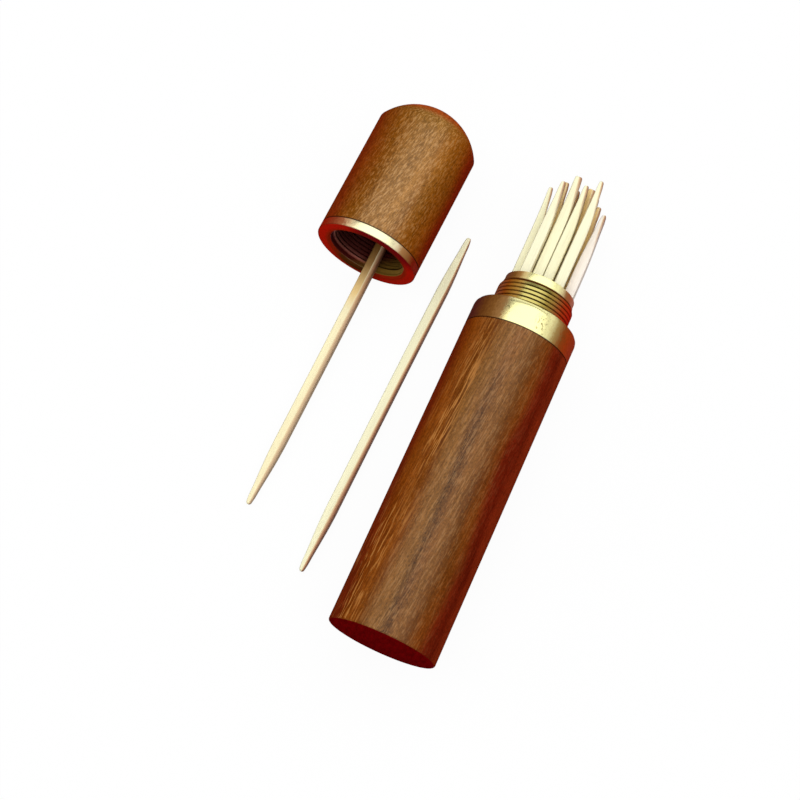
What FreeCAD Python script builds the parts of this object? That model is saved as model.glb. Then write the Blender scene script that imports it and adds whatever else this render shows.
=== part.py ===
import FreeCAD, Part
import math
import os

# A pocket toothpick holder, laid out open on a table. A turned wooden tube and a domed
# wooden cap each carry a brass ferrule, and the two ferrules screw together. The tube lies
# on its side with its picks slid part of the way out, the cap lies beside its neck with one
# pick in its mouth, and one more pick lies between them. +Y runs from the tube's foot to
# its neck and +Z is up. All values are millimetres.

# Driving dimensions: the picks
PICK_LENGTH = 65.0
PICK_WIDTH = 1.76
PICK_PLAY = 0.16
PICK_CORNER_SHARE = 0.31
TIP_CORNER_SHARE = 0.48
CORNER_FLATS = 2
PICK_POINT_LENGTH = 11.0
PICK_SHOWING = 17.27

# Driving dimensions: the walls, counted from the bore outward
BORE_PITCH_RATIO = 3.02
NECK_RIM_WALL = 0.30
NECK_ROOT_WALL = 0.40
THREAD_DEPTH = 0.40
THREAD_PLAY = 0.10
INSERT_WALL = 0.85
WOOD_WALL = 3.20
SPIGOT_WALL = 1.00
CAP_BORE_ALLOWANCE = 0.40
GLUE_GAP = 0.03

# Driving dimensions: along the tube
BASE_THICKNESS = 9.0
STANDING_PROUD = 15.5
FLANGE_WIDTH = 4.7
FLANGE_SHOULDER = 1.2
NECK_HEIGHT = 5.9
NECK_RIM_HEIGHT = 1.1
NECK_CHAMFER = 0.12
SPIGOT_LENGTH = 6.0
FOOT_EDGE = 0.30

# Driving dimensions: along the cap
CAP_HEADROOM = 7.0
CAP_CROWN = 6.3
DOME_RISE = 5.4
LIP_WIDTH = 1.45
LIP_EDGE = 0.15
INSERT_LENGTH = 9.0
MOUTH_CHAMFER = 0.40

# Driving dimensions: how the pieces lie
CAP_ASIDE = 29.0
CAP_AHEAD = 0.15
CAP_YAW = 2.0
CAP_PICK_ASIDE = 0.52
CAP_PICK_FLOOR_GAP = 2.5
LOOSE_PICK_WIDTH = 1.95
LOOSE_PICK_FOOT = 6.9
LOOSE_PICK_LANE = 8.32
LOOSE_PICK_YAW = 1.6
REST_GAP = 0.08

# Radii, from the bore outward
pick_pitch = PICK_WIDTH + PICK_PLAY
bore_radius = BORE_PITCH_RATIO * pick_pitch
neck_rim_radius = bore_radius + NECK_RIM_WALL
thread_root_radius = bore_radius + NECK_ROOT_WALL
neck_radius = thread_root_radius + THREAD_DEPTH
insert_bore_radius = neck_radius + THREAD_PLAY
insert_radius = insert_bore_radius + INSERT_WALL
spigot_radius = bore_radius + SPIGOT_WALL
outer_radius = bore_radius + WOOD_WALL
cap_bore_radius = bore_radius + CAP_BORE_ALLOWANCE

# Stations along the tube, from its foot
flange_top = BASE_THICKNESS + PICK_LENGTH - STANDING_PROUD
wood_top = flange_top - FLANGE_WIDTH
neck_top = flange_top + NECK_HEIGHT

# Stations along the cap, from its mouth
cap_bore_depth = STANDING_PROUD + CAP_HEADROOM
cap_length = cap_bore_depth + CAP_CROWN

# The form of a pick's point: station as a share of the point's length, width as a share of
# the stick's width.
POINT_FORM = [(0.0, 0.24), (0.02, 0.44), (0.50, 0.79), (1.0, 1.0)]

# The bundle seen end on: each pick's place across the bore and above its axis, in pick
# pitches, its roll in degrees, and how much farther out it is drawn than the least, in pitches.
# One row lies side by side across the bore, with two picks on top of it, and two rows lie below.
BUNDLE = [
    (-2.479, -0.271, 4, 0.64),
    (-1.750, 0.583, -5, 1.22),
    (-0.740, -0.094, 2, 2.45),
    (0.260, 0.010, -3, 1.92),
    (1.380, 0.865, 4, 2.40),
    (2.469, -0.240, -6, 0.00),
    (1.300, -0.125, -2, 1.20),
    (-1.550, -1.130, 3, 2.07),
    (-0.450, -1.100, -2, 1.68),
    (0.600, -1.110, 4, 2.25),
    (1.750, -1.180, 5, 0.99),
    (-1.021, -2.125, -3, 0.73),
    (-0.010, -2.146, 2, 1.46),
    (1.000, -2.135, -4, 0.31),
]


class Outline:
    """Half the section of a turned piece: points are (radius, station along the axis)."""

    def __init__(self, radius, station):
        self.first = self.last = FreeCAD.Vector(radius, station, 0)
        self.edges = []

    def line(self, radius, station):
        end = FreeCAD.Vector(radius, station, 0)
        self.edges.append(Part.makeLine(self.last, end))
        self.last = end
        return self

    def arc(self, through, to):
        middle = FreeCAD.Vector(through[0], through[1], 0)
        end = FreeCAD.Vector(to[0], to[1], 0)
        self.edges.append(Part.Arc(self.last, middle, end).toShape())
        self.last = end
        return self

    def round(self, centre, radius, start, stop):
        """A round of the given radius between two angles, in degrees from the radial way."""
        points = []
        for angle in ((start + stop) / 2, stop):
            turn = math.radians(angle)
            points.append((centre[0] + radius * math.cos(turn), centre[1] + radius * math.sin(turn)))
        return self.arc(*points)

    def turned(self):
        """The solid that the closed section sweeps about the Y axis."""
        closing = Part.makeLine(self.last, self.first)
        face = Part.Face(Part.Wire(self.edges + [closing]))
        return face.revolve(FreeCAD.Vector(0, 0, 0), FreeCAD.Vector(0, 1, 0), 360)


def tube_wood():
    """The tube: a closed foot, a drilled bore and a counterbore for the collar's spigot."""
    socket_radius = spigot_radius + GLUE_GAP
    socket_floor = wood_top - SPIGOT_LENGTH - GLUE_GAP
    outline = Outline(0, 0).line(outer_radius - FOOT_EDGE, 0).line(outer_radius, FOOT_EDGE)
    outline.line(outer_radius, wood_top).line(socket_radius, wood_top)
    outline.line(socket_radius, socket_floor).line(bore_radius, socket_floor)
    outline.line(bore_radius, BASE_THICKNESS).line(0, BASE_THICKNESS)
    return outline.turned()


def neck_collar():
    """The brass collar: glued spigot, flange flush with the wood, and the screw neck.

    The neck is turned to the thread's crests, with the plain rim above it.
    """
    shoulder = FLANGE_SHOULDER
    rim_foot = neck_top - NECK_RIM_HEIGHT
    outline = Outline(bore_radius, wood_top - SPIGOT_LENGTH)
    outline.line(spigot_radius, wood_top - SPIGOT_LENGTH).line(spigot_radius, wood_top)
    outline.line(outer_radius, wood_top).line(outer_radius, flange_top - shoulder)
    outline.round((outer_radius - shoulder, flange_top - shoulder), shoulder, 0, 90)
    outline.line(neck_radius, flange_top).line(neck_radius, rim_foot - THREAD_DEPTH)
    outline.line(neck_rim_radius, rim_foot).line(neck_rim_radius, neck_top - NECK_CHAMFER)
    outline.line(neck_rim_radius - NECK_CHAMFER, neck_top).line(bore_radius, neck_top)
    return outline.turned()


def cap_wood():
    """The cap: a straight skirt under a shallow dome, bored and counterbored for its insert."""
    socket_radius = insert_radius + GLUE_GAP
    socket_floor = INSERT_LENGTH + GLUE_GAP
    dome_foot = cap_length - DOME_RISE
    dome_radius = (outer_radius**2 + DOME_RISE**2) / (2 * DOME_RISE)
    dome_centre = cap_length - dome_radius
    lean = math.degrees(math.atan2(dome_foot - dome_centre, outer_radius))
    outline = Outline(socket_radius, LIP_WIDTH).line(outer_radius, LIP_WIDTH)
    outline.line(outer_radius, dome_foot)
    outline.round((0, dome_centre), dome_radius, lean, 90)
    outline.line(0, cap_bore_depth).line(cap_bore_radius, cap_bore_depth)
    outline.line(cap_bore_radius, socket_floor).line(socket_radius, socket_floor)
    return outline.turned()


def cap_insert():
    """The cap's brass insert: a lip flush with the wood and a glued, internally cut ring.

    Its bore is turned to the thread's roots, with a chamfered mouth.
    """
    outline = Outline(insert_bore_radius + MOUTH_CHAMFER, 0)
    outline.line(outer_radius - LIP_EDGE, 0).line(outer_radius, LIP_EDGE)
    outline.line(outer_radius, LIP_WIDTH).line(insert_radius, LIP_WIDTH)
    outline.line(insert_radius, INSERT_LENGTH).line(insert_bore_radius, INSERT_LENGTH)
    outline.line(insert_bore_radius, MOUTH_CHAMFER)
    return outline.turned()


def stick_section(station, width, corner):
    """Points round the eased square that the pick's section is at one station along +Y. Each
    corner is planed in narrow flats that stand in for its round."""
    flat = width / 2 - corner
    points = []
    for quarter, (side_x, side_z) in enumerate([(1, 1), (-1, 1), (-1, -1), (1, -1)]):
        for step in range(CORNER_FLATS + 1):
            angle = math.radians(90 * (quarter + step / CORNER_FLATS))
            x = side_x * flat + corner * math.cos(angle)
            z = side_z * flat + corner * math.sin(angle)
            points.append(FreeCAD.Vector(x, station, z))
    return points


def flat_face(*points):
    return Part.Face(Part.makePolygon([*points, points[0]]))


def pick(stick_width):
    """One pick along +Y from 0: a planed square stick with eased corners that is ground to a
    long, slightly full and nearly round point at both ends."""
    near_half = []
    far_half = []
    for station, share in POINT_FORM:
        width = share * stick_width
        corner = width * (TIP_CORNER_SHARE + (PICK_CORNER_SHARE - TIP_CORNER_SHARE) * share)
        along = station * PICK_POINT_LENGTH
        near_half.append(stick_section(along, width, corner))
        far_half.insert(0, stick_section(PICK_LENGTH - along, width, corner))
    sections = near_half + far_half
    faces = [flat_face(*sections[0]), flat_face(*sections[-1])]
    for near, far in zip(sections, sections[1:]):
        for side in range(len(near)):
            faces.append(flat_face(near[side - 1], near[side], far[side], far[side - 1]))
    shell = Part.makeShell(faces)
    shell.sewShape()
    return Part.makeSolid(shell)


def placed(shape, x, y, z, yaw=0.0, pitch=0.0, roll=0.0):
    """A copy rolled about its own Y axis, tilted nose up, turned clockwise, then moved."""
    turn = FreeCAD.Rotation(FreeCAD.Vector(0, 0, 1), -yaw)
    turn = turn.multiply(FreeCAD.Rotation(FreeCAD.Vector(1, 0, 0), pitch))
    turn = turn.multiply(FreeCAD.Rotation(FreeCAD.Vector(0, 1, 0), roll))
    moved = shape.copy()
    moved.Placement = FreeCAD.Placement(FreeCAD.Vector(x, y, z), turn).multiply(moved.Placement)
    return moved


def beside(across, along, height):
    """A point given in the cap's own frame, whose origin is on the table under its mouth."""
    yaw = math.radians(CAP_YAW)
    x = -CAP_ASIDE + across * math.cos(yaw) + along * math.sin(yaw)
    y = flange_top + CAP_AHEAD - across * math.sin(yaw) + along * math.cos(yaw)
    return x, y, height


def lying_pieces():
    """Every piece where it lies, with the tube's foot over the origin."""
    pieces = {
        "tube_wood": placed(tube_wood(), 0, 0, outer_radius),
        "neck_collar": placed(neck_collar(), 0, 0, outer_radius),
        "cap_wood": placed(cap_wood(), *beside(0, 0, outer_radius), yaw=CAP_YAW),
        "cap_insert": placed(cap_insert(), *beside(0, 0, outer_radius), yaw=CAP_YAW),
    }
    one_pick = pick(PICK_WIDTH)
    for number, (across, above, roll, drawn) in enumerate(BUNDLE, 1):
        x = across * pick_pitch
        y = neck_top + PICK_SHOWING + drawn * pick_pitch - PICK_LENGTH
        z = outer_radius + above * pick_pitch
        pieces[f"tube_pick_{number:02d}"] = placed(one_pick, x, y, z, roll=roll)
    # the pick in the cap's mouth leans from its outer point on the table over the thread
    out_of_cap = PICK_LENGTH - (cap_bore_depth - CAP_PICK_FLOOR_GAP)
    tip_height = LOOSE_PICK_WIDTH * POINT_FORM[1][1] / 2 + REST_GAP
    sill = outer_radius - insert_bore_radius + THREAD_DEPTH + REST_GAP + LOOSE_PICK_WIDTH / 2
    lean = math.degrees(math.asin((sill - tip_height) / out_of_cap))
    outer_end = beside(CAP_PICK_ASIDE, -out_of_cap, tip_height)
    thick_pick = pick(LOOSE_PICK_WIDTH)
    pieces["cap_pick"] = placed(thick_pick, *outer_end, yaw=CAP_YAW, pitch=lean)
    loose_x = -outer_radius - LOOSE_PICK_LANE
    loose_z = LOOSE_PICK_WIDTH / 2
    pieces["loose_pick"] = placed(thick_pick, loose_x, LOOSE_PICK_FOOT, loose_z, yaw=LOOSE_PICK_YAW)
    return pieces


pieces = lying_pieces()
bounds = Part.makeCompound(list(pieces.values())).optimalBoundingBox(False)
centre_x = (bounds.XMin + bounds.XMax) / 2
centre_y = (bounds.YMin + bounds.YMax) / 2
os.makedirs("parts", exist_ok=True)
for node, shape in pieces.items():
    shape.translate(FreeCAD.Vector(-centre_x, -centre_y, 0))
    shape.exportStep(f"parts/{node}.step")
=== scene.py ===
import math
import random

import bmesh
import bpy
from mathutils import Matrix, Vector


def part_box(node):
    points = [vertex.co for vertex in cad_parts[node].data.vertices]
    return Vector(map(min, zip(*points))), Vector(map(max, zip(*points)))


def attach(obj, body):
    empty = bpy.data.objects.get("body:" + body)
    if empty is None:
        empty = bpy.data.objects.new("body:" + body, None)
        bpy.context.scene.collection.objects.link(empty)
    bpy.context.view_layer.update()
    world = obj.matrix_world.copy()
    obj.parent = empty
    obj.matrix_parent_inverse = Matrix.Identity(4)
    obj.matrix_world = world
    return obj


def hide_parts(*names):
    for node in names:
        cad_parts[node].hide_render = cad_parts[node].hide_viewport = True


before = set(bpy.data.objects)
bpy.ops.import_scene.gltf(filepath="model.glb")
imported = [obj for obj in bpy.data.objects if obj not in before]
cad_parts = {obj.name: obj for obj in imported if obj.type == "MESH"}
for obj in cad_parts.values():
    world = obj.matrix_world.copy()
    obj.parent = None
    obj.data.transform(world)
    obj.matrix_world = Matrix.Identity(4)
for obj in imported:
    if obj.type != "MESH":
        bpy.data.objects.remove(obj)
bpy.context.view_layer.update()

scene = bpy.context.scene
MM = 0.001

# ---------------------------------------------------------------------------------------
# The view. The pieces lie flat on a table and are seen from above, a little from the foot
# of the tube, with the camera turned so that the tube runs from lower left to upper right.
# VIEW_FROM is the way to it from the tube's foot in millimetres, and the angles are in degrees.
# ---------------------------------------------------------------------------------------
VIEW_FROM = Vector((22.635, -44.015, 265.43))
VIEW_TILT = 19.17
VIEW_TURN = 23.86
VIEW_LENS = 75.49

tube_low, tube_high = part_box("tube_wood")
tube_foot = Vector(((tube_low.x + tube_high.x) / 2, tube_low.y, 0))
scene.view_settings.view_transform = "Standard"
camera = bpy.data.objects.new("camera", bpy.data.cameras.new("camera"))
camera.location = tube_foot + VIEW_FROM * MM
camera.rotation_euler = (math.radians(VIEW_TILT), 0, math.radians(VIEW_TURN))
camera.data.lens = VIEW_LENS
scene.collection.objects.link(camera)
scene.camera = camera


# ---------------------------------------------------------------------------------------
# The table and the light. A plain mid-toned table fills the view, is shown white, and takes
# a faint soft shadow, and a low white wall runs round it for views from the side. A broad soft
# light hangs over it, and a smaller one stands to the left.
# ---------------------------------------------------------------------------------------
class Signal:
    """One socket of a material's tree. Arithmetic on it adds Math nodes, and node() adds any
    other node: its settings are made first, then its sockets get values or signals."""

    def __init__(self, tree, socket=None):
        self.tree = tree
        self.socket = socket

    def node(self, kind, settings=None, sockets=None, output=0):
        made = self.tree.nodes.new(kind)
        for name, value in (settings or {}).items():
            if name == "stops":
                for index, (station, colour) in enumerate(value):
                    if index >= len(made.color_ramp.elements):
                        made.color_ramp.elements.new(station)
                    made.color_ramp.elements[index].position = station
                    made.color_ramp.elements[index].color = colour
            else:
                setattr(made, name, value)
        for name, value in (sockets or {}).items():
            if isinstance(value, Signal):
                self.tree.links.new(value.socket, made.inputs[name])
            else:
                made.inputs[name].default_value = value
        return Signal(self.tree, made.outputs[output] if made.outputs else None)

    def maths(self, operation, *values):
        return self.node("ShaderNodeMath", {"operation": operation}, dict(enumerate(values)))

    def __add__(self, other):
        return self.maths("ADD", self, other)

    def __mul__(self, other):
        return self.maths("MULTIPLY", self, other)

    def __sub__(self, other):
        return self.maths("SUBTRACT", self, other)

    def __rsub__(self, other):
        return self.maths("SUBTRACT", other, self)

    def __truediv__(self, other):
        return self.maths("DIVIDE", self, other)

    def rise(self, low, high):
        """0 below low, 1 above high, and a smooth step between them."""
        limits = {"Value": self, "From Min": low, "From Max": high}
        return self.node("ShaderNodeMapRange", {"interpolation_type": "SMOOTHSTEP"}, limits)

    def near(self, level, width):
        """1 where this signal is at the level, falling to 0 at a width from it."""
        return 1 - self.maths("ABSOLUTE", self - level).rise(0.0, width)

    def scaled(self, factor):
        """This colour made lighter or darker by a factor."""
        return self.node("ShaderNodeVectorMath", {"operation": "SCALE"}, {0: self, 3: factor})

    def tint(self, below, above):
        """A colour that goes from below to above as this signal goes from 0 to 1."""
        return self.node("ShaderNodeMix", {"data_type": "RGBA"}, {0: self, 6: below, 7: above}, 2)


def display(red, green, blue):
    """A colour written as it shows on a screen, 0 to 255, as the linear one that nodes take."""
    linear = [((value / 255 + 0.055) / 1.055) ** 2.4 for value in (red, green, blue)]
    return (*linear, 1.0)


def own_mesh(name, mesh, material):
    """Makes an object of a bmesh and gives it one material."""
    data = bpy.data.meshes.new(name)
    mesh.to_mesh(data)
    mesh.free()
    data.materials.append(material)
    piece = bpy.data.objects.new(name, data)
    scene.collection.objects.link(piece)
    return piece


def stage_paint(name):
    """A material with an empty tree, a signal to start it from, and one that is 1 for what the
    camera sees, also in a mirror or through glass, and 0 for bounced light."""
    material = bpy.data.materials.new(name)
    material.use_nodes = True
    material.node_tree.nodes.clear()
    tree = Signal(material.node_tree)
    by_camera = tree.node("ShaderNodeLightPath", output="Is Camera Ray")
    by_metal = tree.node("ShaderNodeLightPath", output="Is Glossy Ray")
    by_glass = tree.node("ShaderNodeLightPath", output="Is Transmission Ray")
    seen = by_camera.maths("MAXIMUM", by_camera.maths("MAXIMUM", by_camera, by_metal), by_glass)
    return material, tree, seen


def shown_white(tree, share, otherwise):
    """Ends a tree: plain white by that share, and the other shader for the rest."""
    white = tree.node("ShaderNodeEmission", sockets={"Color": WHITE, "Strength": 1.0})
    paint = tree.node("ShaderNodeMixShader", sockets={0: share, 1: otherwise, 2: white})
    tree.node("ShaderNodeOutputMaterial", sockets={"Surface": paint})


WHITE = (1, 1, 1, 1)
TABLE_SIDE = 6.0
TABLE_DROP = 0.02 * MM
TABLE_BLAZE = 0.95
TABLE_TONE = (0.42, 0.42, 0.42, 1)
TABLE_WHITE = (0.96, 0.96, 0.96, 1)
WALL_RADIUS = TABLE_SIDE / 2 - 0.05
WALL_HEIGHT = 1.2
WALL_SEGMENTS = 64
SKY = 0.26

table_paint, tree, seen = stage_paint("table_paint")
matt = tree.node("ShaderNodeBsdfDiffuse", sockets={"Color": seen.tint(TABLE_TONE, TABLE_WHITE)})
shown_white(tree, seen * TABLE_BLAZE, matt)
top = bmesh.new()
bmesh.ops.create_grid(top, x_segments=1, y_segments=1, size=TABLE_SIDE / 2)
bmesh.ops.translate(top, verts=top.verts, vec=(0, 0, -TABLE_DROP))
own_mesh("table", top, table_paint)

backdrop_paint, tree, seen = stage_paint("backdrop_paint")
shown_white(tree, seen, tree.node("ShaderNodeBsdfTransparent"))
wall = bmesh.new()
bmesh.ops.create_cone(wall, cap_ends=False, segments=WALL_SEGMENTS, radius1=WALL_RADIUS,
                      radius2=WALL_RADIUS, depth=WALL_HEIGHT)
bmesh.ops.translate(wall, verts=wall.verts, vec=(0, 0, WALL_HEIGHT / 2 - TABLE_DROP))
own_mesh("backdrop", wall, backdrop_paint)

world = bpy.data.worlds.new("studio")
world.use_nodes = True
world.node_tree.nodes["Background"].inputs["Color"].default_value = WHITE
world.node_tree.nodes["Background"].inputs["Strength"].default_value = SKY
scene.world = world


def softbox(name, side, watts, where):
    """A square soft light that faces the middle of the table."""
    light = bpy.data.lights.new(name, "AREA")
    light.size = side
    light.energy = watts
    lamp = bpy.data.objects.new(name, light)
    lamp.location = where
    lamp.rotation_euler = Vector(where).to_track_quat("Z", "Y").to_euler()
    scene.collection.objects.link(lamp)


softbox("overhead", side=1.10, watts=5.0, where=(0.06, 0.04, 0.55))
softbox("left", side=0.40, watts=0.5, where=(-0.55, 0.0, 0.30))


# ---------------------------------------------------------------------------------------
# The tube's wood. A close-grained hardwood turned on a lathe, sanded, and rubbed with oil
# to a satin sheen. Its foot is closed and flat, and it is bored from the neck end.
# ---------------------------------------------------------------------------------------
STEPS_ROUND = 160
ROUND_SEGMENTS = 4
MERGED_WITHIN = 1e-4
RING_WITHIN = 1e-3
CREASE = math.radians(32)


def turned(outline, rounds):
    """A closed solid of revolution about Y from an outline of (radius, station) in millimetres.
    Each round is (radius, station, size): the ring there is rounded off by that size."""
    mesh = bmesh.new()
    points = [mesh.verts.new((radius, station, 0)) for radius, station in outline]
    lines = [mesh.edges.new(pair) for pair in zip(points, points[1:])]
    if outline[0][0] > 0 and outline[-1][0] > 0:
        lines.append(mesh.edges.new((points[-1], points[0])))
    bmesh.ops.spin(mesh, geom=points + lines, cent=(0, 0, 0), axis=(0, 1, 0), dvec=(0, 0, 0),
                   angle=math.tau, steps=STEPS_ROUND, use_merge=True, use_duplicate=False)
    bmesh.ops.remove_doubles(mesh, verts=mesh.verts, dist=MERGED_WITHIN)
    for radius, station, size in rounds:
        spot = Vector((radius, station))
        ring = [edge for edge in mesh.edges
                if all((Vector((math.hypot(v.co.x, v.co.z), v.co.y)) - spot).length < RING_WITHIN
                       for v in edge.verts)]
        bmesh.ops.bevel(mesh, geom=ring, offset=size, offset_type="OFFSET",
                        segments=ROUND_SEGMENTS, profile=0.5, affect="EDGES", material=-1)
    bmesh.ops.recalc_face_normals(mesh, faces=mesh.faces)
    return mesh


def lay(mesh, place, crease=CREASE):
    """Scales a mesh from millimetres, lays it where it belongs and shades it smooth between
    its creases."""
    bmesh.ops.transform(mesh, matrix=place @ Matrix.Scale(MM, 4), verts=mesh.verts)
    for face in mesh.faces:
        face.smooth = True
    for edge in mesh.edges:
        if len(edge.link_faces) == 2 and edge.calc_face_angle() > crease:
            edge.smooth = False
    return mesh


def surface(name, place, **constants):
    """A material and a signal of its place on the piece, in millimetres, with Y along the axis."""
    material = bpy.data.materials.new(name)
    material.use_nodes = True
    shader = material.node_tree.nodes["Principled BSDF"]
    for socket, value in constants.items():
        shader.inputs[socket.replace("_", " ")].default_value = value
    start = Signal(material.node_tree)
    coordinates = start.node("ShaderNodeTexCoord", output="Object")
    settings = {"Vector": coordinates, "Location": place.to_translation(),
                "Rotation": place.to_euler(), "Scale": (MM, MM, MM)}
    return material, start.node("ShaderNodeMapping", {"vector_type": "TEXTURE"}, settings)


def dress(material, **patterns):
    """Links each pattern to the shader's socket of that name."""
    shader = material.node_tree.nodes["Principled BSDF"]
    for socket, pattern in patterns.items():
        material.node_tree.links.new(pattern.socket, shader.inputs[socket.replace("_", " ")])


def stretched(where, scale, turn=(0, 0, 0)):
    """The same place turned, then multiplied along each axis."""
    turned_place = {"Vector": where, "Rotation": turn, "Scale": tuple(1 / s for s in scale)}
    return where.node("ShaderNodeMapping", {"vector_type": "TEXTURE"}, turned_place)


def noise(where, scale, detail=2.0, roughness=0.5):
    """Noise from 0 to 1, mostly near 0.5, with that many swells to a millimetre along each axis."""
    sockets = {"Vector": stretched(where, scale), "Scale": 1.0, "Detail": detail,
               "Roughness": roughness}
    return where.node("ShaderNodeTexNoise", {}, sockets)


def along_axes(where):
    """The place's three coordinates."""
    return [where.node("ShaderNodeSeparateXYZ", {}, {"Vector": where}, axis) for axis in range(3)]


def from_axis(across, up):
    """How far the place is from the piece's axis."""
    return across.maths("SQRT", across * across + up * up)


def ramp(where, stops):
    """The colour that the stops give where the signal goes from 0 to 1."""
    return where.node("ShaderNodeValToRGB", {"stops": stops}, {"Fac": where})


def relief(height, distance, strength):
    """A bumped normal from a height pattern; distance is in millimetres."""
    sockets = {"Height": height, "Distance": distance * MM, "Strength": strength}
    return height.node("ShaderNodeBump", {}, sockets)


outer = (tube_high.x - tube_low.x) / 2 / MM
wood_top = (tube_high.y - tube_low.y) / MM
TUBE_ROLL = 5.0
tube_place = Matrix.Translation(tube_foot + Vector((0, 0, outer * MM)))
tube_grain = tube_place @ Matrix.Rotation(math.radians(TUBE_ROLL), 4, "Y")
BORE = 5.80
BORE_FLOOR = 9.0
SOCKET = 6.83
SOCKET_DEPTH = 6.03
FOOT_EDGE = 0.30
SEAM = 0.07
# How wide the painted shade along the seams between wood and brass is, and its colour
SEAM_LINE = 0.19
SEAM_SHADE = display(44, 16, 6)

tube_outline = [(0, 0), (outer, 0), (outer, wood_top), (SOCKET, wood_top),
                (SOCKET, wood_top - SOCKET_DEPTH), (BORE, wood_top - SOCKET_DEPTH),
                (BORE, BORE_FLOOR), (0, BORE_FLOOR)]
tube_rounds = [(outer, 0, FOOT_EDGE), (outer, wood_top, SEAM)]

# Swells to a millimetre along each axis of the wood's patterns
FIBRES = (3.6, 0.07, 3.6)
WANDER = (0.14, 0.045, 0.14)
SPECKS = (4.4, 2.2, 4.4)
CLOUDS = (0.34, 0.10, 0.34)
STREAKS = (3.8, 0.04, 3.8)
FADING = (0.5, 0.05, 0.5)
PORES = (6.5, 0.7, 6.5)
END_RINGS = (1.5, 0.2, 0.30)

# How far the growth bands wander and fray across the piece, in millimetres
BAND_WANDER = 2.8
BAND_FRAY = 1.3

# How much the patterns lighten and darken the wood, how dark its pores are, and how deep all
# of that is in the surface
FIBRE_SHADE = 0.85
SPECK_SHADE = 1.5
CLOUD_SHADE = 0.5
END_SHADE = 1.6
PORE_SHARE = 0.28
WOOD_RELIEF = 0.03

# Where the golden streaks lie across the piece at its foot, how far they drift to the right
# for each millimetre along it, and how far they reach to each side
LANE_START = -7.1
LANE_DRIFT = 0.062
LANE_HALF = 3.8

GILT_COLOUR = display(202, 156, 100)
STREAK_COLOUR = display(188, 126, 64)
STREAK_SHADE = display(80, 28, 6)
PORE_COLOUR = display(44, 14, 6)
RIBBON_FADE = 12.0
SHEEN_FADE = 4.0


def oiled_wood(name, place, bands_and_painted_flanks, askew, streaks, stroke_swells, stroke_depth, gilt, ribbon,
               sheen, sheen_stop, seam, end):
    """Oiled hardwood: colour bands side by side across the piece, the wood's tones with painted
    red reflection and painted shade towards the flanks, fine fibres that run some degrees
    askew, short strokes of figure, some of them golden, long golden streaks down the left
    flank, pores, and a sheen rubbed up on top as far as one station. The ribbon, a soft
    stripe of another tone, is (where it starts, its drift across per millimetre, its half width,
    how much lighter it is, where it ends). The end is (its station, how far it takes to turn
    in, less than 0 where it lies before the station, its colour, its share); its colour is a
    painted red reflection."""
    material, here = surface(name, place, Specular_IOR_Level=0.0, Coat_IOR=1.45,
                             Coat_Roughness=0.38)
    across, along, up = along_axes(here)
    reach = from_axis(across, up)
    grain = stretched(here, (1, 1, 1), (0, 0, math.radians(askew)))
    fibre = noise(grain, FIBRES, 4.0, 0.7)
    wander = noise(here, WANDER, 1.0) - 0.5
    band = (across + wander * BAND_WANDER + (fibre - 0.5) * BAND_FRAY) / (2 * outer) + 0.5
    # The bands hold the wood's tones with painted red reflection and painted shade towards the
    # flanks
    colour = ramp(band, bands_and_painted_flanks)

    stroke = noise(grain, stroke_swells, 3.0, 0.7)
    speck = noise(grain, SPECKS, 2.0, 0.7)
    cloud = noise(grain, CLOUDS, 2.0)
    ribbon_start, ribbon_drift, ribbon_half, ribbon_tone, ribbon_end = ribbon
    stripe = (across + wander - along * ribbon_drift).near(ribbon_start, ribbon_half)
    stripe = stripe * (1 - along.rise(ribbon_end - RIBBON_FADE, ribbon_end))
    shade = (fibre - 0.5) * FIBRE_SHADE + (stroke.rise(0.38, 0.62) - 0.5) * stroke_depth
    shade = shade + (speck - 0.5) * SPECK_SHADE + (cloud - 0.5) * CLOUD_SHADE
    shade = shade + stripe * ribbon_tone
    colour = colour.scaled(shade + 1.0)
    gilded = stroke.rise(0.50, 0.62) * gilt * across.near(0.0, outer)
    colour = gilded.tint(colour, GILT_COLOUR)

    line = noise(grain, STREAKS, 1.5)
    fading = noise(grain, FADING, 1.0).rise(0.34, 0.58)
    lane = (across - along * LANE_DRIFT).near(LANE_START, LANE_HALF) * up.rise(-1.0, 2.0)
    streak = line.rise(0.56, 0.61) * fading * lane * streaks
    colour = streak.tint(colour, STREAK_COLOUR)
    dark = (1 - line).rise(0.53, 0.64) * (lane * 0.8 + 0.2) * streaks * 0.6
    colour = dark.tint(colour, STREAK_SHADE)
    pore = noise(grain, PORES, 1.0).rise(0.66, 0.74) * PORE_SHARE
    colour = pore.tint(colour, PORE_COLOUR)

    # The end's colour is a painted red reflection
    end_station, end_depth, end_painted_red, end_share = end
    if end_depth > 0:
        ended = along.rise(end_station, end_station + end_depth)
        # On a dome the painted red reflection grows stronger towards its rim
        off_pole = reach.rise(0.30 * outer, 0.85 * outer) * 0.5 + 0.5
        colour = (ended * end_share * off_pole).tint(colour, end_painted_red)
    else:
        ended = 1 - along.rise(end_station, end_station - end_depth)
        colour = (ended * end_share).tint(colour, end_painted_red)
    rings = noise(here, END_RINGS, 3.0, 0.6)
    colour = colour.scaled(ended * (rings - 0.5) * END_SHADE + 1.0)
    # Painted shade along the seam with the brass
    colour = along.near(seam, SEAM_LINE).tint(colour, SEAM_SHADE)

    facing = (up.maths("ABSOLUTE", up) / reach).rise(0.82, 1.0)
    rubbed = facing * (1 - ended) * (1 - along.rise(sheen_stop - SHEEN_FADE, sheen_stop))
    rubbed = rubbed * (fibre * 0.6 + stroke * 0.8 + 0.1) * sheen
    dress(material, Base_Color=colour, Roughness=fibre * 0.2 + 0.55, Coat_Weight=rubbed,
          Normal=relief(fibre * 0.5 + stroke * 0.6 - pore, WOOD_RELIEF, 0.5))
    return material


# The tube's wood across the piece: its own tones, with painted red reflection and painted shade
# towards the flanks
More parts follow.
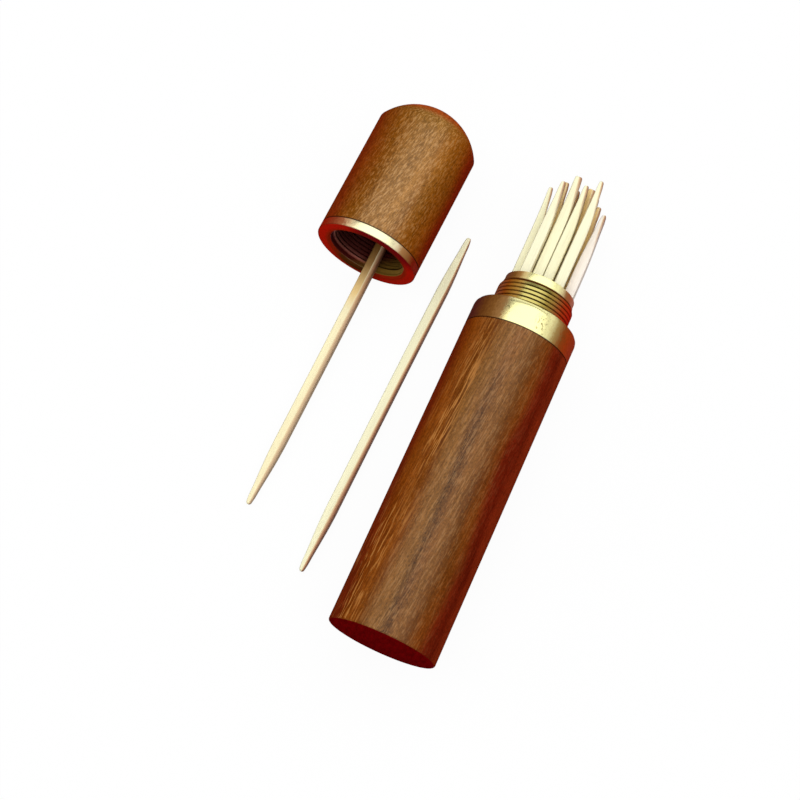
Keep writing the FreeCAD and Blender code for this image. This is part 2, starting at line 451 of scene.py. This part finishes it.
TUBE_BANDS_AND_PAINTED_FLANKS = [
    (0.03, display(114, 36, 10)),
    (0.10, display(129, 62, 11)),
    (0.18, display(134, 72, 22)),
    (0.25, display(116, 62, 17)),
    (0.33, display(128, 82, 33)),
    (0.41, display(134, 88, 36)),
    (0.49, display(126, 79, 35)),
    (0.59, display(128, 81, 31)),
    (0.69, display(108, 60, 14)),
    (0.78, display(120, 60, 18)),
    (0.85, display(112, 32, 11)),
    (0.91, display(104, 24, 7)),
    (0.97, display(134, 42, 16)),
]
# A painted red reflection over the foot face
FOOT_PAINTED_RED = display(120, 3, 6)
tube_finish = oiled_wood(
    "tube_wood_oiled", tube_grain, TUBE_BANDS_AND_PAINTED_FLANKS, askew=-6.0, streaks=0.80,
    stroke_swells=(3.8, 0.40, 3.8), stroke_depth=0.15, gilt=0.22,
    ribbon=(-0.5, 0.0, 1.5, -0.38, 50.0), sheen=0.65, sheen_stop=wood_top + 5.0, seam=wood_top,
    end=(0.02, -0.05, FOOT_PAINTED_RED, 1.0))
tube = own_mesh("turned_tube", lay(turned(tube_outline, tube_rounds), tube_place), tube_finish)
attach(tube, "tube")
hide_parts("tube_wood")

# ---------------------------------------------------------------------------------------
# The neck collar. One brass turning: its spigot is glued into the wood, its flange is flush
# with the wood, and above a rounded shoulder stands the threaded neck with a thin plain rim.
# ---------------------------------------------------------------------------------------
neck_top = (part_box("neck_collar")[1].y - tube_low.y) / MM
NECK_HEIGHT = 5.9
NECK_RIM = 6.10
NECK_RIM_HEIGHT = 1.1
THREAD_ROOT = 6.20
THREAD_DEPTH = 0.39
THREAD_PITCH = 0.72
THREAD_START = 0.05
THREAD_HEAD = 0.7
RIDGE_FOOT = 0.69
RIDGE_CREST = 0.43
RIDGE_SUNK = 0.08
NECK_TAIL = 1.4
SPIGOT = 6.80
SPIGOT_LENGTH = 6.0
SHOULDER = 1.15
RIM_EDGE = 0.10
flange_top = neck_top - NECK_HEIGHT


def thread(radius, depth, start, length, tail, inward=False):
    """The helical ridge of a screw thread as one closed strip, its foot sunk a little into the
    wall that it is cut from, and run out to nothing at each end: over part of a turn at its
    start and over as many turns as the tail is long at its other end."""
    side = -1 if inward else 1
    mesh = bmesh.new()
    sunk = radius - side * RIDGE_SUNK
    crest = radius + side * depth
    section = [(sunk, -RIDGE_FOOT / 2), (crest, -RIDGE_CREST / 2),
               (crest, RIDGE_CREST / 2), (sunk, RIDGE_FOOT / 2)]
    points = [mesh.verts.new((r, start + RIDGE_FOOT / 2 + s, 0)) for r, s in section]
    profile = [mesh.edges.new((points[k - 1], points[k])) for k in range(len(points))]
    turns = (length - RIDGE_FOOT) / THREAD_PITCH
    steps = int(turns * STEPS_ROUND)
    climb = Vector((0, THREAD_PITCH / STEPS_ROUND, 0))
    bmesh.ops.spin(mesh, geom=points + profile, cent=(0, 0, 0), axis=(0, 1, 0), dvec=climb,
                   angle=math.tau * steps / STEPS_ROUND, steps=steps, use_merge=False,
                   use_duplicate=False)
    bmesh.ops.holes_fill(mesh, edges=[edge for edge in mesh.edges if edge.is_boundary], sides=4)
    for point in mesh.verts:
        reach = math.hypot(point.co.x, point.co.z)
        if abs(reach - crest) < abs(reach - sunk):
            run_in = (point.co.y - start - RIDGE_FOOT / 2) / THREAD_PITCH
            run_out = (start + length - RIDGE_FOOT / 2 - point.co.y) / THREAD_PITCH
            share = min((run_in + RIDGE_CREST) / THREAD_HEAD, (run_out + RIDGE_CREST) / tail)
            share = min(1.0, max(0.0, share))
            scale = (sunk + (crest - sunk) * share) / reach
            point.co.x *= scale
            point.co.z *= scale
    bmesh.ops.recalc_face_normals(mesh, faces=mesh.faces)
    return mesh


def joined(*meshes):
    """One mesh of several."""
    whole = bmesh.new()
    for mesh in meshes:
        data = bpy.data.meshes.new("part")
        mesh.to_mesh(data)
        mesh.free()
        whole.from_mesh(data)
        bpy.data.meshes.remove(data)
    return whole


BRASS = display(250, 243, 174)
FLECK_COLOUR = display(98, 74, 34)
GROOVE_SHADE_COLOUR = display(76, 38, 10)
SPECKLES = (2.8, 1.5, 2.8)
SMUDGES = (0.5, 0.5, 0.5)
LATHE_MARKS = (0.05, 9.0, 0.05)
LATHE_RELIEF = 0.01


def old_brass(name, place, painted_flanks, tarnish):
    """Turned brass: bare and bright along the middle, and on the flanks painted reflection and
    painted shade in place of metal, dull copper brown on one flank and deep red on the other,
    with tarnish flecks where they meet. Gives the material, its place, where it is from flank to
    flank, its colour, and how much of it is bare metal."""
    material, here = surface(name, place, Specular_IOR_Level=0.0)
    across, _, up = along_axes(here)
    speckle = noise(here, SPECKLES, 3.0, 0.75)
    side = across / from_axis(across, up) * 0.5 + 0.5 + (speckle - 0.5) * 0.10
    # Painted reflection and painted shade on the flanks, bare brass between them
    colour = ramp(side, painted_flanks)
    bare = side.rise(0.22, 0.34) * (1 - side.rise(0.58, 0.72))
    flecks = speckle.rise(0.53, 0.61) * (side.near(0.31, 0.08) + side.near(0.65, 0.10))
    colour = (flecks * tarnish).tint(colour, FLECK_COLOUR)
    colour = colour.scaled((speckle - 0.5) * (1 - bare) * 0.7 + 1.0)
    return material, here, side, colour, bare


def lathe_relief(where):
    """The bumped normal of the fine rings that a lathe leaves in brass."""
    return relief(noise(where, LATHE_MARKS, 2.0), LATHE_RELIEF, 0.4)


# Brass colours from flank to flank for the flange, the neck and the rim: painted reflection and
# painted shade on the flanks around the bare brass
FLANGE_PAINTED_FLANKS = [
    (0.03, display(90, 38, 30)),
    (0.10, display(106, 60, 24)),
    (0.18, display(124, 80, 36)),
    (0.26, display(154, 112, 66)),
    (0.335, BRASS),
    (0.65, BRASS),
    (0.71, display(242, 233, 166)),
    (0.78, display(166, 136, 80)),
    (0.85, display(136, 68, 24)),
    (0.91, display(160, 58, 18)),
    (0.97, display(164, 56, 30)),
]
NECK_PAINTED_FLANKS = [
    (0.03, display(150, 80, 50)),
    (0.10, display(146, 72, 18)),
    (0.18, display(156, 106, 38)),
    (0.26, display(184, 142, 68)),
    (0.33, display(196, 183, 106)),
    (0.52, display(188, 175, 100)),
    (0.62, display(146, 127, 60)),
    (0.70, display(160, 126, 58)),
    (0.77, display(154, 94, 46)),
    (0.85, display(172, 58, 22)),
    (0.97, display(190, 34, 18)),
]
RIM_PAINTED_FLANKS = [
    (0.03, display(124, 72, 48)),
    (0.10, display(124, 78, 30)),
    (0.18, display(166, 120, 66)),
    (0.25, display(226, 204, 140)),
    (0.32, BRASS),
    (0.67, BRASS),
    (0.72, BRASS),
    (0.78, display(218, 200, 146)),
    (0.85, display(156, 98, 56)),
    (0.91, display(170, 88, 54)),
    (0.97, display(196, 120, 100)),
]
collar_outline = [(BORE, wood_top - SPIGOT_LENGTH), (SPIGOT, wood_top - SPIGOT_LENGTH),
                  (SPIGOT, wood_top), (outer, wood_top), (outer, flange_top),
                  (THREAD_ROOT, flange_top), (THREAD_ROOT, neck_top - NECK_RIM_HEIGHT),
                  (NECK_RIM, neck_top - NECK_RIM_HEIGHT), (NECK_RIM, neck_top), (BORE, neck_top)]
collar_rounds = [(outer, flange_top, SHOULDER), (outer, wood_top, SEAM),
                 (NECK_RIM, neck_top, RIM_EDGE), (BORE, neck_top, RIM_EDGE)]
neck_thread = thread(THREAD_ROOT, THREAD_DEPTH, flange_top + THREAD_START,
                     NECK_HEIGHT - NECK_RIM_HEIGHT - THREAD_START, NECK_TAIL)
collar_finish, here, side, colour, bare = old_brass("collar_brass", tube_grain, FLANGE_PAINTED_FLANKS,
                                                    tarnish=0.8)
across, along, up = along_axes(here)
reach = from_axis(across, up)
rim_foot = neck_top - NECK_RIM_HEIGHT
on_neck = along.rise(flange_top - 0.10, flange_top) * (1 - along.rise(rim_foot, rim_foot + 0.05))
on_rim = along.rise(rim_foot - 0.40, rim_foot - 0.20)
colour = on_rim.tint(on_neck.tint(colour, ramp(side, NECK_PAINTED_FLANKS)), ramp(side, RIM_PAINTED_FLANKS))
# Painted shade in the thread's grooves, where the brass also loses its metal and gloss
groove_shade = on_neck * (1 - on_rim) * (1 - reach.rise(THREAD_ROOT + 0.02, THREAD_ROOT + 0.32))
colour = groove_shade.tint(colour, GROOVE_SHADE_COLOUR)
# Painted shade along the seam with the wood
colour = along.near(wood_top, SEAM_LINE).tint(colour, SEAM_SHADE)
dress(collar_finish, Base_Color=colour, Metallic=bare * (1 - groove_shade * 0.7),
      Roughness=noise(here, SMUDGES, 3.0) * 0.2 + groove_shade * 0.3 + 0.16,
      Normal=lathe_relief(here))
collar_mesh = lay(joined(turned(collar_outline, collar_rounds), neck_thread), tube_place)
collar = own_mesh("threaded_collar", collar_mesh, collar_finish)
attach(collar, "tube")
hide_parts("neck_collar")

# ---------------------------------------------------------------------------------------
# The cap's wood. Turned from the same stock, cut across a finely figured part: a straight
# skirt under a shallow dome, bored for the picks' ends and counterbored for its insert.
# ---------------------------------------------------------------------------------------
CAP_ASIDE = 29.0
CAP_AHEAD = 0.15
CAP_YAW = 2.0
CAP_LENGTH = 28.8
CAP_BORE = 6.20
CAP_BORE_DEPTH = 22.5
INSERT_OUTER = 7.55
INSERT_LENGTH = 9.0
INSERT_GLUE = 0.03
LIP_WIDTH = 1.45
DOME_RISE = 5.4
DOME_STEPS = 16
CAP_ROLL = 11.0

mouth = tube_place @ Vector((-CAP_ASIDE * MM, (flange_top + CAP_AHEAD) * MM, 0))
cap_place = Matrix.Translation(mouth) @ Matrix.Rotation(math.radians(-CAP_YAW), 4, "Z")
cap_grain = cap_place @ Matrix.Rotation(math.radians(CAP_ROLL), 4, "Y")
dome_foot = CAP_LENGTH - DOME_RISE
dome_radius = (outer**2 + DOME_RISE**2) / (2 * DOME_RISE)
dome_half_angle = math.asin(outer / dome_radius)
dome = [(dome_radius * math.sin(dome_half_angle * k / DOME_STEPS),
         CAP_LENGTH - dome_radius * (1 - math.cos(dome_half_angle * k / DOME_STEPS)))
        for k in range(DOME_STEPS, -1, -1)]
socket_radius = INSERT_OUTER + INSERT_GLUE
socket_floor = INSERT_LENGTH + INSERT_GLUE
cap_outline = [(socket_radius, LIP_WIDTH), (outer, LIP_WIDTH), *dome, (0, CAP_BORE_DEPTH),
               (CAP_BORE, CAP_BORE_DEPTH), (CAP_BORE, socket_floor), (socket_radius, socket_floor)]
# The cap's wood across the piece: its own tones, with painted red reflection and painted shade
# towards the flanks
CAP_BANDS_AND_PAINTED_FLANKS = [
    (0.03, display(124, 42, 8)),
    (0.10, display(127, 60, 9)),
    (0.17, display(126, 69, 14)),
    (0.25, display(130, 78, 20)),
    (0.33, display(140, 93, 36)),
    (0.40, display(148, 102, 45)),
    (0.48, display(148, 102, 45)),
    (0.55, display(162, 112, 50)),
    (0.63, display(146, 97, 42)),
    (0.70, display(146, 90, 24)),
    (0.78, display(136, 76, 15)),
    (0.85, display(138, 71, 11)),
    (0.91, display(136, 56, 8)),
    (0.97, display(138, 36, 10)),
]
# A painted red reflection along the rim of the dome
CROWN_PAINTED_RED = display(172, 62, 13)
cap_finish = oiled_wood(
    "cap_wood_oiled", cap_grain, CAP_BANDS_AND_PAINTED_FLANKS, askew=-12.0, streaks=0.0,
    stroke_swells=(4.0, 0.75, 4.0), stroke_depth=0.31, gilt=0.6,
    ribbon=(-1.8, 0.27, 3.0, 0.16, 60.0), sheen=0.9, sheen_stop=dome_foot + 1.0, seam=LIP_WIDTH,
    end=(dome_foot + 0.8, 2.2, CROWN_PAINTED_RED, 0.85))
cap = own_mesh("domed_cap", lay(turned(cap_outline, [(outer, LIP_WIDTH, SEAM)]), cap_place),
               cap_finish)
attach(cap, "cap")
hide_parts("cap_wood")

# ---------------------------------------------------------------------------------------
# The cap's insert. One brass turning glued into the cap: a lip flush with the wood, a
# chamfered mouth, and the inner thread that takes the neck.
# ---------------------------------------------------------------------------------------
INSERT_ROOT = 6.70
INSERT_THREAD_DEPTH = 0.36
INSERT_THREAD_START = 0.6
INSERT_THREAD_LENGTH = 6.8
INSERT_TAIL = 0.7
MOUTH_CHAMFER = 0.40
LIP_EDGE = 0.13

insert_outline = [(INSERT_ROOT + MOUTH_CHAMFER, 0), (outer, 0), (outer, LIP_WIDTH),
                  (INSERT_OUTER, LIP_WIDTH), (INSERT_OUTER, INSERT_LENGTH),
                  (INSERT_ROOT, INSERT_LENGTH), (INSERT_ROOT, MOUTH_CHAMFER)]
insert_rounds = [(outer, 0, LIP_EDGE), (outer, LIP_WIDTH, SEAM)]
insert_thread = thread(INSERT_ROOT, INSERT_THREAD_DEPTH, INSERT_THREAD_START,
                       INSERT_THREAD_LENGTH, INSERT_TAIL, inward=True)
# Brass colours of the lip from flank to flank: painted red reflection and painted shade on the
# flanks around the bare brass
LIP_PAINTED_FLANKS = [
    (0.03, display(150, 30, 10)),
    (0.10, display(136, 56, 30)),
    (0.18, display(156, 92, 58)),
    (0.25, display(216, 184, 140)),
    (0.32, display(243, 235, 188)),
    (0.66, display(243, 235, 188)),
    (0.71, display(244, 228, 186)),
    (0.77, display(176, 128, 80)),
    (0.85, display(150, 98, 52)),
    (0.91, display(130, 30, 10)),
    (0.97, display(150, 44, 32)),
]
# Painted light and shade inside the insert: lit olive at the mouth and on one side, painted shade
# going to dark maroon deeper in
INSIDE_PAINTED_SHADING = [
    (0.00, display(138, 106, 42)),
    (0.22, display(116, 80, 32)),
    (0.42, display(88, 27, 22)),
    (1.00, display(64, 11, 16)),
]
INSIDE_REACH = 7.0
# Painted red reflection on the mouth's front ring, maroon towards the top, and painted brown shade
RING_RED_REFLECTION = display(204, 30, 13)
RING_MAROON_REFLECTION = display(134, 16, 20)
RING_BROWN_SHADE = display(84, 44, 12)
# Painted highlights on the thread's crests and on the mouth's chamfer
RIDGE_HIGHLIGHT = display(190, 120, 104)
CHAMFER_HIGHLIGHT = display(206, 142, 118)
insert_finish, here, side, colour, bare = old_brass("insert_brass", cap_grain, LIP_PAINTED_FLANKS,
                                                    tarnish=0.25)
across, along, up = along_axes(here)
reach = from_axis(across, up)
inside = 1 - reach.rise(INSERT_ROOT + 0.05, INSERT_ROOT + 0.10)
# How deep into the painted shade a place inside is: deeper in and towards one side
depth = along / INSIDE_REACH + (0.66 - side)
inside_shading = ramp(depth, INSIDE_PAINTED_SHADING)
# The front ring: a painted red reflection, maroon above, with painted brown shade below and towards
# the hole
front = (1 - reach.rise(outer - 0.20, outer - 0.05)) * (1 - inside)
below = (1 - up.rise(-0.9 * outer, -0.1 * outer)) * side.near(0.40, 0.40)
shade_share = below * (1 - reach.rise(outer - 1.2, outer - 0.1)) + (1 - reach.rise(7.0, 7.9)) * 0.5
upper = up.rise(0.2 * outer, 0.7 * outer) * side.rise(0.15, 0.40)
colour = front.tint(colour, shade_share.tint(upper.tint(RING_RED_REFLECTION, RING_MAROON_REFLECTION), RING_BROWN_SHADE))
# Painted highlight along the thread's crests on one side, strongest in the first turns
ridge = 1 - reach.rise(INSERT_ROOT - INSERT_THREAD_DEPTH + 0.02, INSERT_ROOT - 0.16)
first_turn = (1 - along.rise(1.2, 2.4)) * 0.45 + 0.12
inside_shading = (ridge * (1 - side.rise(0.40, 0.62)) * first_turn).tint(inside_shading, RIDGE_HIGHLIGHT)
colour = inside.tint(colour, inside_shading)
# Painted highlight on the upper part of the mouth's chamfer
chamfer = 1 - reach.rise(INSERT_ROOT + MOUTH_CHAMFER - 0.05, INSERT_ROOT + MOUTH_CHAMFER)
chamfer = chamfer * (1 - inside) * side.rise(0.50, 0.75) * up.rise(1.0, 3.0)
colour = chamfer.tint(colour, CHAMFER_HIGHLIGHT)
# Painted shade along the seam with the wood
colour = along.near(LIP_WIDTH, SEAM_LINE).tint(colour, SEAM_SHADE)
dress(insert_finish, Base_Color=colour,
      Metallic=bare * (1 - front) * (1 - inside) + inside * 0.4,
      Roughness=noise(here, SMUDGES, 3.0) * 0.2 + front * 0.3 + inside * 0.2 + 0.18,
      Normal=lathe_relief(here))
insert_mesh = lay(joined(turned(insert_outline, insert_rounds), insert_thread), cap_place)
insert = own_mesh("threaded_insert", insert_mesh, insert_finish)
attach(insert, "cap")
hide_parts("cap_insert")

# ---------------------------------------------------------------------------------------
# The picks. Pale hardwood, split and planed square, with eased corners and a long point
# ground at each end. No two are quite alike: their points are uneven, and the two single
# picks are a little bowed.
# ---------------------------------------------------------------------------------------
POINT_LENGTH = 11.0

# How wide a point is, as shares of the stick's width, at shares of the point's length, and
# where along it the mesh is cut to follow that
POINT_FORM = [(0.0, 0.22), (0.01, 0.36), (0.03, 0.46), (0.12, 0.58), (0.31, 0.67), (0.49, 0.79),
              (0.62, 0.865), (0.77, 0.94), (1.0, 1.0)]
POINT_CUTS = (0.01, 0.03, 0.07, 0.12, 0.20, 0.31, 0.40, 0.49, 0.62, 0.77, 1.0)
BODY_CUTS = 9
CUT_WITHIN = 1e-5

CORNER_SHARE = 0.14
CORNER_SEGMENTS = 3
POINT_ROUNDING = 0.85
POINT_OFF = 0.07
TIP_SLICE = 0.1
PLANED = math.radians(12)
LEAN_FROM = 0.84
LEAN_CURVE = 1.5
PICK_FIBRES = (8.0, 0.14, 8.0)
PICK_FIBRE_SHADE = 0.30
PICK_TONES = (0.55, 0.02, 0.55)
PICK_TONE_SHADE = 0.16
# Painted shade in a thin strip along each pick's -X edge
LEFT_EDGE = 0.13
LEFT_SHADE = 0.74
# Pick tones from pinkish white to warm tan; higher values add painted warm shade, and the darkest
# end is painted shade
STAINS_AND_SHADE = [
    (0.00, display(255, 246, 234)),
    (0.25, display(255, 251, 212)),
    (0.50, display(252, 218, 150)),
    (1.00, display(146, 98, 40)),
]
# The darkest value, reached only as painted shade where a pick lies in the cap, and how far that
# painted shade fades along the pick
DEEPEST_SHADE = 2.0
INNER_SHADE_FADE = 8.5
# Painted shade across a pick's shaded side, from where it starts to its edge
SIDE_SHADE_RAMP = [
    (0.00, display(254, 246, 204)),
    (0.14, display(244, 222, 176)),
    (0.34, display(212, 172, 132)),
    (0.60, display(176, 128, 96)),
    (0.82, display(160, 112, 84)),
    (1.00, display(144, 96, 72)),
]

pick_finish, here = surface("pick_wood_bare", Matrix.Identity(4), Roughness=0.6,
                            Specular_IOR_Level=0.1)
fibre = noise(here, PICK_FIBRES, 3.0, 0.6)
tone = noise(here, PICK_TONES, 1.0)
side_shade = here.node("ShaderNodeAttribute", {"attribute_name": "side_shade"}, output=1)
stain_and_shade = here.node("ShaderNodeAttribute", {"attribute_name": "stain_and_shade"}, output=2)
# Where across the pick a place is, where the painted side shade starts, and how dark that is
side, shade_from, shade_share = along_axes(side_shade)
shade = (side + (fibre - 0.5) * 0.10 - shade_from) / (1 - shade_from)
side_shaded = ramp(shade, SIDE_SHADE_RAMP)
colour = ramp(stain_and_shade / DEEPEST_SHADE, STAINS_AND_SHADE)
colour = (1 - side.rise(0.0, LEFT_EDGE)).tint(colour, colour.scaled(LEFT_SHADE))
colour = (shade_share * shade.rise(0.0, 0.02)).tint(colour, side_shaded)
colour = colour.scaled((fibre - 0.5) * PICK_FIBRE_SHADE + (tone - 0.5) * PICK_TONE_SHADE + 1.0)
dress(pick_finish, Base_Color=colour, Normal=relief(fibre, WOOD_RELIEF, 0.5))


def width_share(from_end, fullness):
    """How wide the pick is, as a share of the stick's width, at a distance from its nearer end."""
    share = min(from_end / POINT_LENGTH, 1.0)
    for (near, low), (far, high) in zip(POINT_FORM, POINT_FORM[1:]):
        if share <= far:
            return (low + (high - low) * (share - near) / (far - near)) ** fullness
    return 1.0


def pick_mesh(width, length, bow, lean, fullness, stain_and_shade, side_shading, inner_shaded, seed):
    """One pick along +Y from 0, in millimetres: planed square, corners eased, ends pointed. Its
    browning is painted shade along one side: where across it that starts and how dark it is,
    first along the stick and then at the far end, and how far from that end the second takes
    over. The next argument is how far from its far end it is darkened with painted shade, for
    the part that lies in the cap."""
    draw = random.Random(seed)
    mesh = bmesh.new()
    bmesh.ops.create_cube(mesh, size=1.0)
    bmesh.ops.transform(mesh, verts=mesh.verts, matrix=Matrix.Translation((0, length / 2, 0))
                        @ Matrix.Diagonal((width, length, width, 1)))
    edges = [edge for edge in mesh.edges if abs(edge.verts[0].co.y - edge.verts[1].co.y) > 1]
    bmesh.ops.bevel(mesh, geom=edges, offset=width * CORNER_SHARE, offset_type="OFFSET",
                    segments=CORNER_SEGMENTS, profile=0.5, affect="EDGES", material=-1)
    start, depth, far_start, far_depth, span = side_shading
    middle = length - 2 * POINT_LENGTH
    cuts = [POINT_LENGTH * share for share in POINT_CUTS]
    cuts += [length - cut for cut in cuts]
    cuts += [POINT_LENGTH + middle * (k + 1) / (BODY_CUTS + 1) for k in range(BODY_CUTS)]
    for cut in cuts:
        bmesh.ops.bisect_plane(mesh, geom=mesh.verts[:] + mesh.edges[:] + mesh.faces[:],
                               plane_co=(0, cut, 0), plane_no=(0, 1, 0), dist=CUT_WITHIN)
    half = width / 2
    side_shade_layer = mesh.verts.layers.float_vector.new("side_shade")
    stain_and_shade_layer = mesh.verts.layers.float.new("stain_and_shade")
    near_off, far_off = (Vector((draw.uniform(-POINT_OFF, POINT_OFF), 0, 0)) for end in range(2))
    for point in mesh.verts:
        along = point.co.y
        far = max(0.0, 1 - (length - along) / span)
        point[side_shade_layer] = (point.co.x / width + 0.5, start + (far_start - start) * far,
                             depth + (far_depth - depth) * far)
        # Painted shade towards the far end, for the part of the pick that lies in the cap
        inner_shade = min(1.0, max(0.0, inner_shaded - (length - along)) / INNER_SHADE_FADE)
        point[stain_and_shade_layer] = stain_and_shade + (DEEPEST_SHADE - stain_and_shade) * inner_shade
        share = width_share(min(along, length - along), fullness)
        radial = Vector((point.co.x, 0, point.co.z))
        rounded = radial.normalized() * half
        shape = radial.lerp(rounded, POINT_ROUNDING * (1 - share)) * share
        off = near_off if along < length / 2 else far_off
        point.co = shape + off * (1 - share) + Vector((0, along, 0))
        point.co.x += bow * math.sin(math.pi * along / length)
        beyond = max(0.0, along - length * LEAN_FROM) / (length * (1 - LEAN_FROM))
        point.co.x += lean * beyond**LEAN_CURVE
    bmesh.ops.recalc_face_normals(mesh, faces=mesh.faces)
    return mesh


def lay_pick(node, width, roll, bow, lean, fullness, stain_and_shade, side_shading, inner_shaded, seed):
    """Makes the pick that stands for a node, lying between that node's two ends."""
    points = [vertex.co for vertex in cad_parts[node].data.vertices]
    low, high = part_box(node)
    ends = []
    for tip in ([p for p in points if p.y < low.y + TIP_SLICE * MM],
                [p for p in points if p.y > high.y - TIP_SLICE * MM]):
        ends.append(Vector([(min(p[k] for p in tip) + max(p[k] for p in tip)) / 2
                            for k in range(3)]))
    direction = ends[1] - ends[0]
    place = Matrix.Translation(ends[0]) @ direction.to_track_quat("Y", "Z").to_matrix().to_4x4()
    place = place @ Matrix.Rotation(math.radians(roll), 4, "Y")
    mesh = pick_mesh(width, direction.length / MM, bow, lean, fullness, stain_and_shade, side_shading, inner_shaded,
                     seed)
    pick = own_mesh(node.replace("pick", "toothpick"), lay(mesh, place, PLANED), pick_finish)
    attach(pick, node)
    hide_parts(node)


# Painted side shade: where it starts and how dark it is along the stick, the same at the far end,
# and over how much of the length that takes over
BUNDLE_SIDE_SHADE = (0.94, 0.30, 0.46, 1.0, 8.0)
LOOSE_SIDE_SHADE = (0.55, 1.0, 0.80, 1.0, 65.0)
CAP_PICK_SIDE_SHADE = (0.58, 0.70, 0.66, 1.0, 40.0)
# How far from its far end the cap's pick is darkened with painted shade, for the part inside the
# cap
CAP_PICK_INNER_SHADE = 27.0
SINGLE_WIDTH = 1.92

# The bundle's picks: width, roll in degrees, lean of the far point, fullness of the points, stain,
# set higher as painted warm shade for the picks that lie below the top row
BUNDLE = [
    (1.60, 3, -0.70, 0.9, 0.50),
    (1.72, -4, -0.38, 0.9, 0.45),
    (1.78, 2, -0.38, 0.4, 0.50),
    (1.78, -3, -0.42, 0.9, 0.50),
    (1.78, 4, -0.48, 1.0, 0.45),
    (1.78, -6, 0.0, 1.0, 0.0),
    (1.78, -2, 0.0, 0.8, 0.7),
    (1.78, 3, -0.50, 0.9, 1.1),
    (1.78, -2, -0.30, 0.8, 1.1),
    (1.78, 4, -0.17, 0.35, 1.0),
    (1.78, 5, -0.08, 0.9, 1.1),
    (1.78, -3, 0.0, 1.0, 0.9),
    (1.78, 2, 0.0, 1.0, 0.9),
    (1.78, -4, 0.0, 1.0, 0.9),
]
for number, (width, roll, lean, fullness, stain_and_shade_level) in enumerate(BUNDLE, 1):
    lay_pick(f"tube_pick_{number:02d}", width, roll, bow=0.0, lean=lean, fullness=fullness,
             stain_and_shade=stain_and_shade_level, side_shading=BUNDLE_SIDE_SHADE, inner_shaded=0.0, seed=number)
lay_pick("cap_pick", SINGLE_WIDTH, roll=0, bow=0.12, lean=0.0, fullness=1.0, stain_and_shade=0.62,
         side_shading=CAP_PICK_SIDE_SHADE, inner_shaded=CAP_PICK_INNER_SHADE, seed=31)
lay_pick("loose_pick", SINGLE_WIDTH, roll=0, bow=-0.10, lean=0.0, fullness=1.0, stain_and_shade=0.50,
         side_shading=LOOSE_SIDE_SHADE, inner_shaded=0.0, seed=32)
